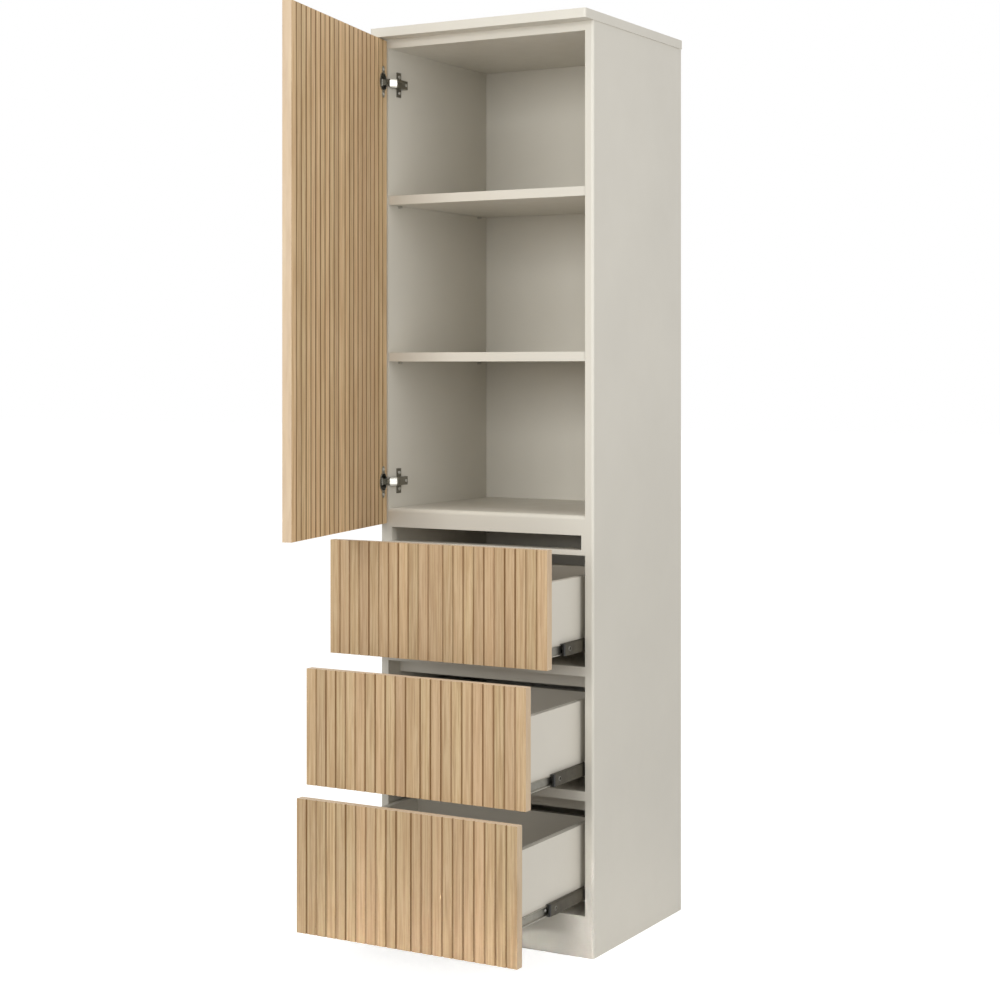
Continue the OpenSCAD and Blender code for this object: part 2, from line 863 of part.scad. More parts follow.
side_left();
side_right();
top_board();
sub_top();
shelf_upper();
shelf_lower();
deck_board();
deck_rail();
grip_rail();
divider_upper();
divider_lower();
apron_upper();
apron_lower();
bottom_board();
plinth_front();
plinth_back();
back_panel();
shelf_pins();
door_panel();
hinge_cup_upper();
hinge_pin_upper();
hinge_arm_upper();
hinge_plate_upper();
hinge_cup_lower();
hinge_pin_lower();
hinge_arm_lower();
hinge_plate_lower();
drawer_top_front();
drawer_top_side_left();
drawer_top_side_right();
drawer_top_back();
drawer_top_bottom();
drawer_mid_front();
drawer_mid_side_left();
drawer_mid_side_right();
drawer_mid_back();
drawer_mid_bottom();
drawer_low_front();
drawer_low_side_left();
drawer_low_side_right();
drawer_low_back();
drawer_low_bottom();
runner_top_cabinet();
runner_top_middle();
runner_top_drawer();
runner_top_balls();
runner_top_guides();
runner_mid_cabinet();
runner_mid_middle();
runner_mid_drawer();
runner_mid_balls();
runner_mid_guides();
runner_low_cabinet();
runner_low_middle();
runner_low_drawer();
runner_low_balls();
runner_low_guides();
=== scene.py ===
import math

import bmesh
import bpy
from mathutils import Matrix, Vector

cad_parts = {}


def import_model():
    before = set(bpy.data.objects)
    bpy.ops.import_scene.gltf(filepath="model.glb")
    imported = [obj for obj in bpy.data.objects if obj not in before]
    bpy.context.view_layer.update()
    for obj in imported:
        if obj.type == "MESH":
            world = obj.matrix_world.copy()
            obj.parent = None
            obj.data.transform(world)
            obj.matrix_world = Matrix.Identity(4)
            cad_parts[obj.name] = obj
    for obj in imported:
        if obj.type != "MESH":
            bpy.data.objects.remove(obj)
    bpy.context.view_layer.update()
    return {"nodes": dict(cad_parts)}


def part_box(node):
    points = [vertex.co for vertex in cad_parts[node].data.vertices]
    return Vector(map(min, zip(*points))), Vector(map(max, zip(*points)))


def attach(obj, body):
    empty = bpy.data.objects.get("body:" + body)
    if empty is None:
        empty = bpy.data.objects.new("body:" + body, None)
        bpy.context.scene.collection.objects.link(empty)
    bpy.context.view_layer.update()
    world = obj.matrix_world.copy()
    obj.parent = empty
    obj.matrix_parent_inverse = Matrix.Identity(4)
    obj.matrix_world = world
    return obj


# Lengths are in metres, and repeat part.scad's where the dressing shares them with the cabinet.

# the fluted fronts: slats on each side of a wider middle slat
SIDE_SLATS = 10
MIDDLE_SLAT = 0.032
HALF_FRONT = 0.238
SLAT_STEP = (HALF_FRONT - MIDDLE_SLAT / 2) / SIDE_SLATS
GROOVE_HALF = 0.0015
# depth of a front's end face, and how many slats short of the end the last slat is counted to
END_SKIN = 0.0001
END_SLAT = 0.02

# how far the door stands open at rest, its hinge line, and places on it when it is closed
DOOR_OPEN = math.radians(78)
DOOR_PIN = Vector((-0.23025, -0.4115, 0.0))
FACE_Y = -0.404
CUP_X = -0.2175

# the hinges' screws: where they stand, then each head's radius and height
FLANGE_THICK = 0.0012
FLANGE_SCREW = 0.025
WING_THICK = 0.002
WING_WIDE = 0.015
PLATE_SCREW = 0.016
CLAMP_BACK = 0.009
CLAMP_SUNK = 0.0002
FLANGE_HEAD = (0.0034, 0.0014)
PLATE_HEAD = (0.0038, 0.0022)
CLAMP_HEAD = (0.0034, 0.0016)

# the runners: thickness of their webs, the screws along them, the middle members' access holes
FIXED_WEB = 0.0012
DRAWER_WEB = 0.00404
RUNNER_HOLES = (0.033, 0.129, 0.257)
RUNNER_HEAD = (0.0034, 0.0013)
ACCESS_BACK = 0.018
ACCESS_RADIUS = 0.003
RIM_WIDE = 0.0016
RIM_HIGH = 0.0005
RIM_STEPS = 32

# a pan head's outline in parts of its radius and height, and its cross recess
HEAD_OUTLINE = ((1.0, 0.0), (1.0, 0.35), (0.86, 0.75), (0.6, 0.97), (0.30, 1.0))
HEAD_STEPS = 24
CROSS_DEEP = 0.55
CROSS_LONG = 0.26
CROSS_WAIST = 0.09
CROSS_SHARP = 0.9

# rounding of sharp edges
EDGE_SOFT = 0.0007
SEAM_SOFT = 0.0014
ARM_SOFT = 0.0011
SOFT_ANGLE = math.radians(50)

# colours as linear red, green, blue
PAINT = (0.68, 0.65, 0.58)
DRAWER_PAINT = (0.70, 0.665, 0.59)
OAK_LIGHT = (0.558, 0.410, 0.250)
OAK_MID = (0.456, 0.308, 0.158)
OAK_WARM = (0.555, 0.350, 0.215)
OAK_DEEP = (0.335, 0.212, 0.104)
# a dark brown for the pores, and for the painted shade in and beside the grooves
OAK_PORES_AND_GROOVE_SHADE = (0.200, 0.100, 0.026)
OAK_SAP = (0.578, 0.448, 0.262)
OAK_END_AND_TOP_LIGHT = (0.76, 0.63, 0.49)
HINGE_GREY = (0.24, 0.23, 0.20)
CUP_GREY = (0.36, 0.35, 0.31)
# the colour of the painted highlight along the hinge arms' hooks
ARM_HIGHLIGHT = (0.66, 0.65, 0.61)
ARM_DULL = (0.25, 0.24, 0.21)
BALL_GREY = (0.62, 0.62, 0.62)
RUNNER_GREY = (0.44, 0.42, 0.365)
RIM_GREY = (0.30, 0.285, 0.25)
MIDDLE_GREY = (0.135, 0.122, 0.095)
SCREW_GREY = (0.66, 0.65, 0.62)
PLASTIC_BLACK = (0.018, 0.018, 0.018)

# the two values between which most of a noise lies
NOISE_RANGE = (0.3, 0.7)

# the oak's grain: cells per metre across, through and along a slat, then detail and roughness
GRAIN = {
    "fine": ((260.0, 90.0, 14.0), 6.0, 0.62),
    "streaks": ((210.0, 60.0, 6.5), 3.0, 0.55),
    "broad": ((55.0, 30.0, 7.0), 4.0, 0.5),
    "sap": ((300.0, 50.0, 5.0), 2.0, 0.5),
    "pores": ((1500.0, 700.0, 38.0), 2.0, 0.6),
}
# where the fine grain is one colour or the other, on the faces, and on the pale ends and the upward
# faces that take painted light
FACE_GRAIN = ((0.36, OAK_MID), (0.60, OAK_LIGHT))
END_AND_TOP_LIGHT_GRAIN = ((0.35, OAK_END_AND_TOP_LIGHT), (0.9, OAK_LIGHT))
# a layer comes in between two values of its grain, up to a strength, in a colour
OAK_LAYERS = (
    ("streaks", 0.46, 0.58, 0.66, OAK_DEEP),
    ("broad", 0.35, 0.7, 0.40, OAK_MID),
    ("sap", 0.50, 0.60, 0.60, OAK_SAP),
)
PORE_LAYER = ("pores", 0.60, 0.74, 0.30, OAK_PORES_AND_GROOVE_SHADE)

# how the slats differ: a jump along the grain, a share of warm colour, and their lightness
SLAT_JUMP = 7.3
SLAT_WARM = 0.36
SLAT_LIGHT = 1.02
SLAT_VARIED = 0.18
# the grooves' painted shade: how dark it is, from the palest groove to the darkest, and how far it
# fades outwards
GROOVE_SHADE_RANGE = (0.25, 0.80)
GROOVE_SHADE = 0.0009
# random numbers for the warm share and the grooves' painted shade, kept apart from the slats' own
WARM_SEED = 31.7
GROOVE_SHADE_SEED = 77.3
OAK_ROUGH = (0.50, 0.64)
# upward faces by their normal's height, the painted light that makes them paler, and how pale the end
# faces are
UPWARD = (0.6, 0.9)
TOP_PAINTED_LIGHT = 0.85
END_PALE = 0.5

# the door's face towards the cabinet: where it sets in, and what it adds to the outer face's look:
# painted light that makes it paler, more varied slat tones, and darker, broader painted groove shade
INNER_FACE = (-0.412, -0.408)
INNER_PAINTED_LIGHT = 0.29
INNER_VARIED = 0.04
INNER_GROOVE_SHADE = 0.48
INNER_SHADE = 0.0009

# the painted highlight band of a hinge arm: its front and back, half its height, and its soft borders
HOOK_FRONT = -0.404
HOOK_BACK = -0.383
HOOK_MIDDLE = 0.0055
HOOK_BLUR = 0.001
HOOK_FADE = 0.006

# the studio
WARM_LIGHT = (1.0, 0.99, 0.97)
COOL_LIGHT = (0.98, 1.0, 1.0)
FLOOR_HALF = 30
FLOOR_DIFFUSE = 0.70
FLOOR_GLOW = 0.72
WORLD_LIGHT = 0.52
# name, place, what it is aimed at, width and height, watts, colour, spread in degrees
LAMPS = (
    ("key", (0.2, -5.6, 2.2), (0, 0, 0.95), (1.8, 2.0), 123, COOL_LIGHT, 180),
    ("low", (1.0, -4.6, 0.26), (0.15, -0.4, -0.06), (0.9, 0.20), 0.42, WARM_LIGHT, 8),
    ("top", (0.1, -0.9, 4.2), (0.05, -0.7, 0.4), (1.4, 1.2), 30, WARM_LIGHT, 180),
    ("fill", (3.4, -1.6, 1.8), (0.2, -0.2, 0.9), (2.0, 2.6), 40.5, WARM_LIGHT, 180),
)
CAMERA_AT = (1.949, -3.767, 1.118)
CAMERA_VIEW = Vector((-0.494, 0.8695, 0))
CAMERA_LENS = 71.6
CAMERA_SENSOR = 36.0
CAMERA_SHIFT = -0.13
CAMERA_REACH = 100


class Nodes:
    """Short calls for making one material's nodes."""

    def __init__(self, name):
        self.material = bpy.data.materials.new(name)
        self.material.use_nodes = True
        self.tree = self.material.node_tree
        self.shader = self.tree.nodes["Principled BSDF"]

    def put(self, socket, value):
        if isinstance(value, bpy.types.NodeSocket):
            self.tree.links.new(value, socket)
        else:
            socket.default_value = value

    def math(self, operation, a, b=0.0, c=0.0):
        made = self.tree.nodes.new("ShaderNodeMath")
        made.operation = operation
        for socket, value in zip(made.inputs, (a, b, c)):
            self.put(socket, value)
        return made.outputs[0]

    def mix(self, factor, a, b):
        made = self.tree.nodes.new("ShaderNodeMix")
        made.data_type = "RGBA"
        self.put(made.inputs[0], factor)
        self.put(made.inputs[6], as_colour(a))
        self.put(made.inputs[7], as_colour(b))
        return made.outputs[2]

    def noise(self, vector, scale=1.0, detail=4.0, rough=0.5):
        made = self.tree.nodes.new("ShaderNodeTexNoise")
        self.put(made.inputs["Vector"], vector)
        self.put(made.inputs["Scale"], scale)
        self.put(made.inputs["Detail"], detail)
        self.put(made.inputs["Roughness"], rough)
        return made.outputs["Fac"]

    def ramp(self, factor, *stops):
        made = self.tree.nodes.new("ShaderNodeValToRGB")
        self.put(made.inputs[0], factor)
        for point, (at, colour) in zip(made.color_ramp.elements, stops):
            point.position = at
            point.color = as_colour(colour)
        return made.outputs[0]

    def chance(self, value, seed):
        """A random number from 0 to 1 for each whole number."""
        made = self.tree.nodes.new("ShaderNodeTexWhiteNoise")
        made.noise_dimensions = "1D"
        self.put(made.inputs["W"], self.math("ADD", value, seed))
        return made.outputs[0]

    def span(self, value, low, high, to_low, to_high):
        made = self.tree.nodes.new("ShaderNodeMapRange")
        for socket, number in zip(made.inputs, (value, low, high, to_low, to_high)):
            self.put(socket, number)
        return made.outputs[0]

    def split(self, vector):
        made = self.tree.nodes.new("ShaderNodeSeparateXYZ")
        self.put(made.inputs[0], vector)
        return made.outputs

    def scaled(self, vector, by):
        made = self.tree.nodes.new("ShaderNodeVectorMath")
        made.operation = "SCALE"
        self.put(made.inputs[0], vector)
        self.put(made.inputs["Scale"], by)
        return made.outputs[0]

    def position(self, scale=(1, 1, 1), turn=None):
        """The place on the object, turned back about an upright line if it stands turned."""
        place = self.tree.nodes.new("ShaderNodeTexCoord").outputs["Object"]
        if turn:
            turned = self.tree.nodes.new("ShaderNodeVectorRotate")
            turned.rotation_type = "Z_AXIS"
            self.put(turned.inputs["Vector"], place)
            turned.inputs["Center"].default_value = turn[0]
            turned.inputs["Angle"].default_value = turn[1]
            place = turned.outputs[0]
        stretched = self.tree.nodes.new("ShaderNodeVectorMath")
        stretched.operation = "MULTIPLY"
        self.put(stretched.inputs[0], place)
        stretched.inputs[1].default_value = scale
        return stretched.outputs[0]

    def bump(self, height, strength, distance):
        made = self.tree.nodes.new("ShaderNodeBump")
        self.put(made.inputs["Height"], height)
        made.inputs["Strength"].default_value = strength
        made.inputs["Distance"].default_value = distance
        self.put(self.shader.inputs["Normal"], made.outputs[0])

    def colour(self, value):
        self.put(self.shader.inputs["Base Color"], as_colour(value))

    def rough(self, value):
        self.put(self.shader.inputs["Roughness"], value)

    def constant(self, name, value):
        self.shader.inputs[name].default_value = value


def as_colour(value):
    """A colour with its alpha, or a socket as it is."""
    if isinstance(value, bpy.types.NodeSocket):
        return value
    return (*value, 1.0)


def toned(colour, by):
    return tuple(min(1.0, c * by) for c in colour)


def paint(name, colour, rough=0.38):
    """Sprayed satin paint on board: faint clouds of tone and a fine orange peel."""
    n = Nodes(name)
    place = n.position()
    low, high = NOISE_RANGE
    clouds = n.noise(place, scale=5.0, detail=3.0)
    patches = n.noise(place, scale=30.0, detail=3.0)
    peel = n.noise(place, scale=420.0, detail=2.0)
    n.colour(n.ramp(clouds, (low, toned(colour, 0.975)), (high, toned(colour, 1.02))))
    n.rough(n.span(patches, low, high, rough - 0.04, rough + 0.06))
    n.bump(peel, strength=0.10, distance=0.0004)
    n.constant("IOR", 1.48)
    return n.material


def oak(name, turn=None, seed=0.0):
    """Light oak in upright slats, each with its own tone, with painted shade of a different darkness
    in and beside each groove, and painted light that makes the upward faces paler; the end faces are
    paler.

    The face towards the cabinet, which only the turned door shows, is made paler with painted light,
    and its painted groove shade is darker and broader. The groove shade is drawn by place through the
    whole front, so it also lies on flat faces such as the backs of the drawer fronts.
    """
    n = Nodes(name)
    x, y, z = n.split(n.position(turn=turn))
    from_middle = n.math("ABSOLUTE", x)
    at_end = n.math("GREATER_THAN", from_middle, HALF_FRONT - END_SKIN)
    inner = 0.0
    if turn:
        not_end = n.math("LESS_THAN", from_middle, HALF_FRONT - END_SKIN)
        inner = n.math("MULTIPLY", n.span(y, *INNER_FACE, 0.0, 1.0), not_end)

    # slats are counted outwards from the middle slat's edge, and kept below the last one's outer edge
    outward = n.math("DIVIDE", n.math("SUBTRACT", from_middle, MIDDLE_SLAT / 2), SLAT_STEP)
    outward = n.math("MINIMUM", outward, SIDE_SLATS - END_SLAT)
    side = n.math("SIGN", x)
    slat = n.math("MULTIPLY", n.math("ADD", n.math("FLOOR", outward), 1.0), side)
    groove = n.math("MULTIPLY", n.math("ROUND", outward), side)

    # the distance from the nearest groove; the last slat has none on its outer side
    inside = n.math("FRACT", outward)
    last = n.math("GREATER_THAN", outward, SIDE_SLATS - 1.0)
    to_next = n.math("ADD", n.math("SUBTRACT", 1.0, inside), last)
    near = n.math("MAXIMUM", n.math("MINIMUM", inside, to_next), n.math("MULTIPLY", outward, -1.0))
    from_groove = n.math("MULTIPLY", near, SLAT_STEP)

    tone = n.chance(slat, seed)
    jump = n.math("MULTIPLY", tone, SLAT_JUMP)

    def grain(which):
        (across, through, along), detail, rough = GRAIN[which]
        made = n.tree.nodes.new("ShaderNodeCombineXYZ")
        n.put(made.inputs[0], n.math("MULTIPLY_ADD", x, across, jump))
        n.put(made.inputs[1], n.math("MULTIPLY", y, through))
        n.put(made.inputs[2], n.math("MULTIPLY_ADD", z, along, jump))
        return n.noise(made.outputs[0], detail=detail, rough=rough)

    def layer(wood, grains, low, high, strength, colour):
        return n.mix(n.span(grains, low, high, 0.0, strength), wood, colour)

    fine = grain("fine")
    wood = n.ramp(fine, *FACE_GRAIN)
    for which, *how in OAK_LAYERS:
        wood = layer(wood, grain(which), *how)
    wood = n.mix(n.math("MULTIPLY", n.chance(slat, seed + WARM_SEED), SLAT_WARM), wood, OAK_WARM)
    varied = n.math("MULTIPLY_ADD", inner, INNER_VARIED, SLAT_VARIED)
    slat_tone_and_painted_light = n.math("MULTIPLY_ADD", n.math("SUBTRACT", tone, 0.5), varied, SLAT_LIGHT)
    # painted light: the door's face towards the cabinet is made paler than its outer face
    slat_tone_and_painted_light = n.math("MULTIPLY", slat_tone_and_painted_light, n.math("MULTIPLY_ADD", inner, INNER_PAINTED_LIGHT, 1.0))
    wood = n.scaled(wood, slat_tone_and_painted_light)
    pores = grain(PORE_LAYER[0])
    wood = layer(wood, pores, *PORE_LAYER[1:])

    # painted shade in and beside each groove, of its own darkness, darker and broader on the door's
    # inner face; drawn by place through the whole front, so also on flat backs
    groove_shade_strength = n.span(n.chance(groove, seed + GROOVE_SHADE_SEED), 0.0, 1.0, *GROOVE_SHADE_RANGE)
    groove_shade_strength = n.math("MINIMUM", n.math("MULTIPLY_ADD", inner, INNER_GROOVE_SHADE, groove_shade_strength), 1.0)
    shade_to = n.math("MULTIPLY_ADD", inner, INNER_SHADE, GROOVE_HALF + GROOVE_SHADE)
    groove_painted_shade = n.math("MULTIPLY", n.span(from_groove, GROOVE_HALF, shade_to, 1.0, 0.0), groove_shade_strength)
    wood = n.mix(groove_painted_shade, wood, OAK_PORES_AND_GROOVE_SHADE)

    normal = n.tree.nodes.new("ShaderNodeNewGeometry").outputs["Normal"]
    # painted light: faces that look upwards are made paler, as if lit from above; the end faces are
    # paler too
    painted_top_light = n.span(n.split(normal)[2], *UPWARD, 0.0, TOP_PAINTED_LIGHT)
    painted_top_light_and_pale_ends = n.math("MAXIMUM", painted_top_light, n.math("MULTIPLY", at_end, END_PALE))
    n.colour(n.mix(painted_top_light_and_pale_ends, wood, n.ramp(fine, *END_AND_TOP_LIGHT_GRAIN)))
    n.rough(n.span(fine, *NOISE_RANGE, *OAK_ROUGH))
    height = n.math("ADD", n.math("MULTIPLY", fine, 0.6), n.math("MULTIPLY", pores, 0.4))
    n.bump(height, strength=0.25, distance=0.0006)
    n.constant("Specular IOR Level", 0.35)
    return n.material


def metal(n, rough, along=(900, 12, 900)):
    """Makes a material bare metal, with fine streaks along its rolled direction."""
    streaks = n.noise(n.position(along), detail=4.0, rough=0.6)
    n.constant("Metallic", 1.0)
    n.rough(n.span(streaks, *NOISE_RANGE, rough - 0.06, rough + 0.10))
    n.bump(streaks, strength=0.08, distance=0.0002)
    return n.material


def steel(name, colour, rough, dirt=0.12, **how):
    """Plated sheet steel with duller spots."""
    n = Nodes(name)
    spots = n.noise(n.position(), scale=60.0, detail=3.0)
    n.colour(n.mix(n.span(spots, 0.35, 0.65, 0.0, 1.0), toned(colour, 1 - dirt), colour))
    return metal(n, rough, **how)


def hook_highlight_steel(name, highlight, dull, rough):
    """Plated steel with a painted highlight along the middle of the hook, and duller elsewhere on the
    arm.
    """
    n = Nodes(name)
    x, y, z = n.split(n.position())
    heights = [sum(corner[2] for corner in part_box("hinge_arm_" + which)) / 2
               for which in ("upper", "lower")]
    upper, lower = (n.math("ABSOLUTE", n.math("SUBTRACT", z, height)) for height in heights)
    # painted highlight: a bright band along the middle of each hook, with the arm's duller colour
    # around it
    off_middle = n.span(n.math("MINIMUM", upper, lower),
                        HOOK_MIDDLE - HOOK_BLUR, HOOK_MIDDLE + HOOK_BLUR, 0.0, 1.0)
    behind = n.span(y, HOOK_BACK - HOOK_FADE, HOOK_BACK + HOOK_BLUR, 0.0, 1.0)
    before = n.span(y, HOOK_FRONT - HOOK_BLUR, HOOK_FRONT + HOOK_BLUR, 1.0, 0.0)
    off_highlight = n.math("MAXIMUM", n.math("MAXIMUM", behind, off_middle), before)
    n.colour(n.mix(off_highlight, highlight, dull))
    return metal(n, rough)


def plastic(name, colour, rough=0.45):
    """Moulded plastic with a spark-eroded grain."""
    n = Nodes(name)
    place = n.position()
    grain = n.noise(place, scale=1500.0, detail=2.0)
    n.colour(n.mix(n.noise(place, scale=40.0, detail=2.0), toned(colour, 0.8), colour))
    n.rough(n.span(grain, *NOISE_RANGE, rough - 0.05, rough + 0.08))
    n.bump(grain, strength=0.15, distance=0.0001)
    return n.material


def called(start="", end=""):
    """The CAD nodes whose names start and end so."""
    return [name for name in frame["nodes"] if name.startswith(start) and name.endswith(end)]


def dress(names, material):
    """Gives CAD nodes a material."""
    for name in names:
        node = frame["nodes"][name]
        node.data.materials.clear()
        node.data.materials.append(material)


def soften(names, width=EDGE_SOFT, segments=2):
    """A small round on a node's sharp edges."""
    for name in names:
        node = frame["nodes"][name]
        bevel = node.modifiers.new("soft_edges", "BEVEL")
        bevel.width = width
        bevel.segments = segments
        bevel.limit_method = "ANGLE"
        bevel.angle_limit = SOFT_ANGLE
        bevel.use_clamp_overlap = True
        bevel.harden_normals = False


def mesh_piece(name, build, material, body):
    """A piece made by a function that fills a bmesh, riding on a CAD body."""
    mesh = bpy.data.meshes.new(name)
    made = bmesh.new()
    build(made)
    made.to_mesh(mesh)
    made.free()
    piece = bpy.data.objects.new(name, mesh)
    bpy.context.collection.objects.link(piece)
    mesh.materials.append(material)
    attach(piece, body)


def circle(steps):
    """The cosine and sine of each of a circle's steps."""
    angles = [2 * math.pi * i / steps for i in range(steps)]
    return [(math.cos(a), math.sin(a)) for a in angles]


def screw_head(made, at, axis, radius, high):
    """A pan head with a cross recess, standing on the point at along axis."""
    turn = Vector((0, 0, 1)).rotation_difference(Vector(axis).normalized()).to_matrix().to_4x4()
    place = Matrix.Translation(Vector(at)) @ turn

    def vertex(c, s, r, h):
        return made.verts.new(place @ Vector((c * r * radius, s * r * radius, h)))

    rows = [[vertex(c, s, r, h * high) for c, s in circle(HEAD_STEPS)] for r, h in HEAD_OUTLINE]
    recess = []
    for c, s in circle(HEAD_STEPS):
        r = CROSS_LONG if max(abs(c), abs(s)) > CROSS_SHARP else CROSS_WAIST
        recess.append(vertex(c, s, r, high * (1 - CROSS_DEEP)))
    rows.append(recess)
    for low, top in zip(rows, rows[1:]):
        for i in range(HEAD_STEPS):
            j = (i + 1) % HEAD_STEPS
            made.faces.new((low[i], low[j], top[j], top[i]))
    made.faces.new(recess)
    made.faces.new(rows[0][::-1])


def ring(made, at, side, inner, outer, high):
    """A raised rim around a hole, on the face at the point at, outwards to side."""
    profile = ((inner, 0.0), (inner, high * 0.7), (inner + high * 0.5, high),
               (outer - high, high * 0.9), (outer, 0.0))
    rows = []
    for r, h in profile:
        rows.append([made.verts.new((at[0] + side * h, at[1] + c * r, at[2] + s * r))
                     for c, s in circle(RIM_STEPS)])
    rows.append(rows[0])
    for low, top in zip(rows, rows[1:]):
        for i in range(RIM_STEPS):
            j = (i + 1) % RIM_STEPS
            corners = (low[i], low[j], top[j], top[i])
            made.faces.new(corners if side < 0 else corners[::-1])


def on_door(point):
    """A place given on the closed door, turned with the door to its opening."""
    turn = Matrix.Rotation(-DOOR_OPEN, 4, "Z")
    return DOOR_PIN + turn @ (Vector(point) - DOOR_PIN)


def hinge_screws(name):
    """The two plate screws, the arm's clamping screw and the two flange screws of one hinge."""
    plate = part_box("hinge_plate_" + name)
    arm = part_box("hinge_arm_" + name)
    x = plate[0][0] + WING_THICK
    y = plate[0][1] + WING_WIDE
    z = (plate[0][2] + plate[1][2]) / 2

    def on_plate(made):
        for s in (-1, 1):
            screw_head(made, (x, y, z + s * PLATE_SCREW), (1, 0, 0), *PLATE_HEAD)
        screw_head(made, (arm[1][0] - CLAMP_SUNK, y + CLAMP_BACK, z), (1, 0, 0), *CLAMP_HEAD)

    def on_flange(made):
        out = on_door((0, 1, 0)) - on_door((0, 0, 0))
        for s in (-1, 1):
            at = on_door((CUP_X, FACE_Y + FLANGE_THICK, z + s * FLANGE_SCREW))
            screw_head(made, at, out, *FLANGE_HEAD)

    mesh_piece("hinge_screws_" + name, on_plate, SCREW_STEEL, "carcass")
    mesh_piece("flange_screws_" + name, on_flange, SCREW_STEEL, "door")


def runner_screws(place):
    """Flat screws in the fixed members and in the drawer members of one pair of runners."""
    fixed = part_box("runner_%s_cabinet" % place)
    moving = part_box("runner_%s_drawer" % place)
    z = (fixed[0][2] + fixed[1][2]) / 2

    def heads(made, box, web, facing):
        """Heads on the left and right webs; facing is 1 where they look into the cabinet."""
        for side, inward in ((0, 1), (1, -1)):
            for hole in RUNNER_HOLES:
                at = (box[side][0] + inward * web, box[0][1] + hole, z)
                screw_head(made, at, (inward * facing, 0, 0), *RUNNER_HEAD)

    mesh_piece("fixed_screws_" + place, lambda made: heads(made, fixed, FIXED_WEB, 1),
               SCREW_STEEL, "carcass")
    mesh_piece("drawer_screws_" + place, lambda made: heads(made, moving, DRAWER_WEB, -1),
               SCREW_STEEL, "drawer_" + place)


def access_rims(place):
    """The rims of the round holes near the front ends of the middle members."""
    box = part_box("runner_%s_middle" % place)
    y = box[0][1] + ACCESS_BACK
    z = (box[0][2] + box[1][2]) / 2

    def build(made):
        for side, x in ((-1, box[0][0]), (1, box[1][0])):
            ring(made, (x, y, z), side, ACCESS_RADIUS, ACCESS_RADIUS + RIM_WIDE, RIM_HIGH)

    mesh_piece("access_rims_" + place, build, RIM_STEEL, "runner_" + place)


def aim(thing, target):
    thing.rotation_euler = (Vector(target) - thing.location).to_track_quat("-Z", "Y").to_euler()


def lamp(name, at, target, size, power, colour, spread):
    data = bpy.data.lights.new(name, "AREA")
    data.spread = math.radians(spread)
    data.shape = "RECTANGLE"
    data.size, data.size_y = size
    data.energy = power
    data.color = colour
    made = bpy.data.objects.new(name, data)
    bpy.context.collection.objects.link(made)
    made.location = at
    aim(made, target)


def floor():
    """A white sweep that keeps the cabinet's shadow and shows white to the camera."""
    mesh = bpy.data.meshes.new("floor")
    made = bmesh.new()
    corners = [(x * FLOOR_HALF, y * FLOOR_HALF) for x, y in ((-1, -1), (1, -1), (1, 1), (-1, 1))]
    made.faces.new([made.verts.new((x, y, 0.0)) for x, y in corners])
    made.to_mesh(mesh)
    made.free()
    plane = bpy.data.objects.new("floor", mesh)
    bpy.context.collection.objects.link(plane)
    material = bpy.data.materials.new("white_floor")
    material.use_nodes = True
    tree = material.node_tree
    tree.nodes.clear()
    out = tree.nodes.new("ShaderNodeOutputMaterial")
    diffuse = tree.nodes.new("ShaderNodeBsdfDiffuse")
    diffuse.inputs[0].default_value = (FLOOR_DIFFUSE, FLOOR_DIFFUSE, FLOOR_DIFFUSE, 1)
    glow = tree.nodes.new("ShaderNodeEmission")
    path = tree.nodes.new("ShaderNodeLightPath")
    total = tree.nodes.new("ShaderNodeAddShader")
    power = tree.nodes.new("ShaderNodeMath")
    power.operation = "MULTIPLY"
    power.inputs[1].default_value = FLOOR_GLOW
    tree.links.new(path.outputs["Is Camera Ray"], power.inputs[0])
    tree.links.new(power.outputs[0], glow.inputs[1])
    tree.links.new(diffuse.outputs[0], total.inputs[0])
    tree.links.new(glow.outputs[0], total.inputs[1])
    tree.links.new(total.outputs[0], out.inputs[0])
    mesh.materials.append(material)


def world():
    """White behind the object and in its reflections; an even pale light from all round."""
    made = bpy.data.worlds.new("studio")
    bpy.context.scene.world = made
    made.use_nodes = True
    tree = made.node_tree
    tree.nodes.clear()
    out = tree.nodes.new("ShaderNodeOutputWorld")
    seen = tree.nodes.new("ShaderNodeBackground")
    seen.inputs[0].default_value = (1, 1, 1, 1)
    seen.inputs[1].default_value = 1.0
    light = tree.nodes.new("ShaderNodeBackground")
    light.inputs[0].default_value = (*WARM_LIGHT, 1)
    light.inputs[1].default_value = WORLD_LIGHT
    path = tree.nodes.new("ShaderNodeLightPath")
    first = tree.nodes.new("ShaderNodeMath")
    first.operation = "MAXIMUM"
    both = tree.nodes.new("ShaderNodeMath")
    both.operation = "MAXIMUM"
    tree.links.new(path.outputs["Is Camera Ray"], first.inputs[0])
    tree.links.new(path.outputs["Is Glossy Ray"], first.inputs[1])
    tree.links.new(first.outputs[0], both.inputs[0])
    tree.links.new(path.outputs["Is Transmission Ray"], both.inputs[1])
    mix = tree.nodes.new("ShaderNodeMixShader")
    tree.links.new(both.outputs[0], mix.inputs[0])
    tree.links.new(light.outputs[0], mix.inputs[1])
    tree.links.new(seen.outputs[0], mix.inputs[2])
    tree.links.new(mix.outputs[0], out.inputs[0])


def camera():
    """Level camera to the right of the front, with its frame shifted down as in the photograph."""
    data = bpy.data.cameras.new("camera")
    data.lens = CAMERA_LENS
    data.sensor_width = CAMERA_SENSOR
    data.shift_y = CAMERA_SHIFT
    data.clip_end = CAMERA_REACH
    made = bpy.data.objects.new("camera", data)
    bpy.context.collection.objects.link(made)
    made.location = CAMERA_AT
    aim(made, Vector(made.location) + CAMERA_VIEW)
    bpy.context.scene.camera = made


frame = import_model()

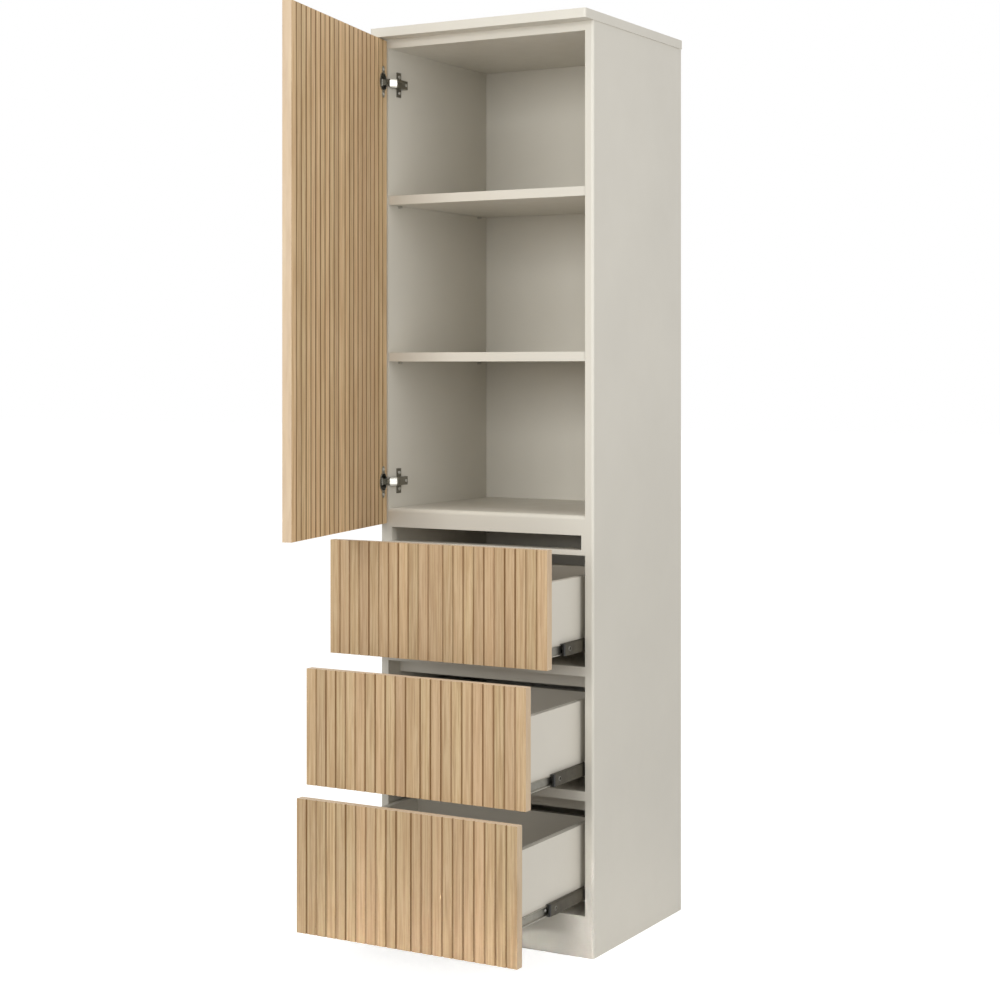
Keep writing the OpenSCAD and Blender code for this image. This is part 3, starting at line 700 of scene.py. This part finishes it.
WALL_PAINT = paint("satin_greige_paint", PAINT)
BOX_PAINT = paint("drawer_box_paint", DRAWER_PAINT, 0.42)
DOOR_OAK = oak("door_oak", turn=(DOOR_PIN, DOOR_OPEN), seed=3.0)
FRONT_OAK = {"top": oak("top_front_oak", seed=40.0), "mid": oak("mid_front_oak", seed=80.0),
             "low": oak("low_front_oak", seed=120.0)}
HINGE_STEEL = steel("hinge_nickel", HINGE_GREY, 0.30)
CUP_STEEL = steel("cup_nickel", CUP_GREY, 0.34)
ARM_HIGHLIGHT_STEEL = hook_highlight_steel("arm_nickel_painted_highlight", ARM_HIGHLIGHT, ARM_DULL, 0.27)
BALL_STEEL = steel("ball_steel", BALL_GREY, 0.12, dirt=0.04, along=(300, 300, 300))
RUNNER_STEEL = steel("runner_zinc", RUNNER_GREY, 0.34, dirt=0.2)
RIM_STEEL = steel("rim_zinc", RIM_GREY, 0.30)
MIDDLE_STEEL = steel("middle_zinc", MIDDLE_GREY, 0.42, dirt=0.2)
SCREW_STEEL = steel("screw_nickel", SCREW_GREY, 0.28)
BLACK = plastic("black_plastic", PLASTIC_BLACK)

# the carcass is what is left once the moving and metal nodes are taken out
NOT_CARCASS = ("drawer_", "runner_", "hinge_", "door_panel", "shelf_pins")
CARCASS = [name for name in frame["nodes"] if not name.startswith(NOT_CARCASS)]
BOXES = [name for name in called("drawer_") if not name.endswith("_front")]
SEAMED = called("deck_")

# a later line dresses some of an earlier line's nodes again
dress(CARCASS, WALL_PAINT)
dress(BOXES, BOX_PAINT)
dress(["door_panel"], DOOR_OAK)
for place, wood in FRONT_OAK.items():
    dress(["drawer_%s_front" % place], wood)
dress(called("hinge_"), HINGE_STEEL)
dress(called("hinge_cup"), CUP_STEEL)
dress(called("hinge_arm"), ARM_HIGHLIGHT_STEEL)
dress(["shelf_pins"], SCREW_STEEL)
dress(called("runner_"), RUNNER_STEEL)
dress(called("runner_", "_middle"), MIDDLE_STEEL)
dress(called("runner_", "_balls"), BALL_STEEL)
dress(called("runner_", "_guides"), BLACK)

# the side panels have their rounds in the CAD
soften([name for name in CARCASS if name not in SEAMED and not name.startswith("side_")] + BOXES)
soften(SEAMED, SEAM_SOFT)
soften(["hinge_arm_upper", "hinge_arm_lower"], ARM_SOFT, 3)

for name in ("upper", "lower"):
    hinge_screws(name)
for place in FRONT_OAK:
    runner_screws(place)
    access_rims(place)

floor()
world()
for settings in LAMPS:
    lamp(*settings)
camera()
bpy.context.scene.view_settings.view_transform = "Standard"
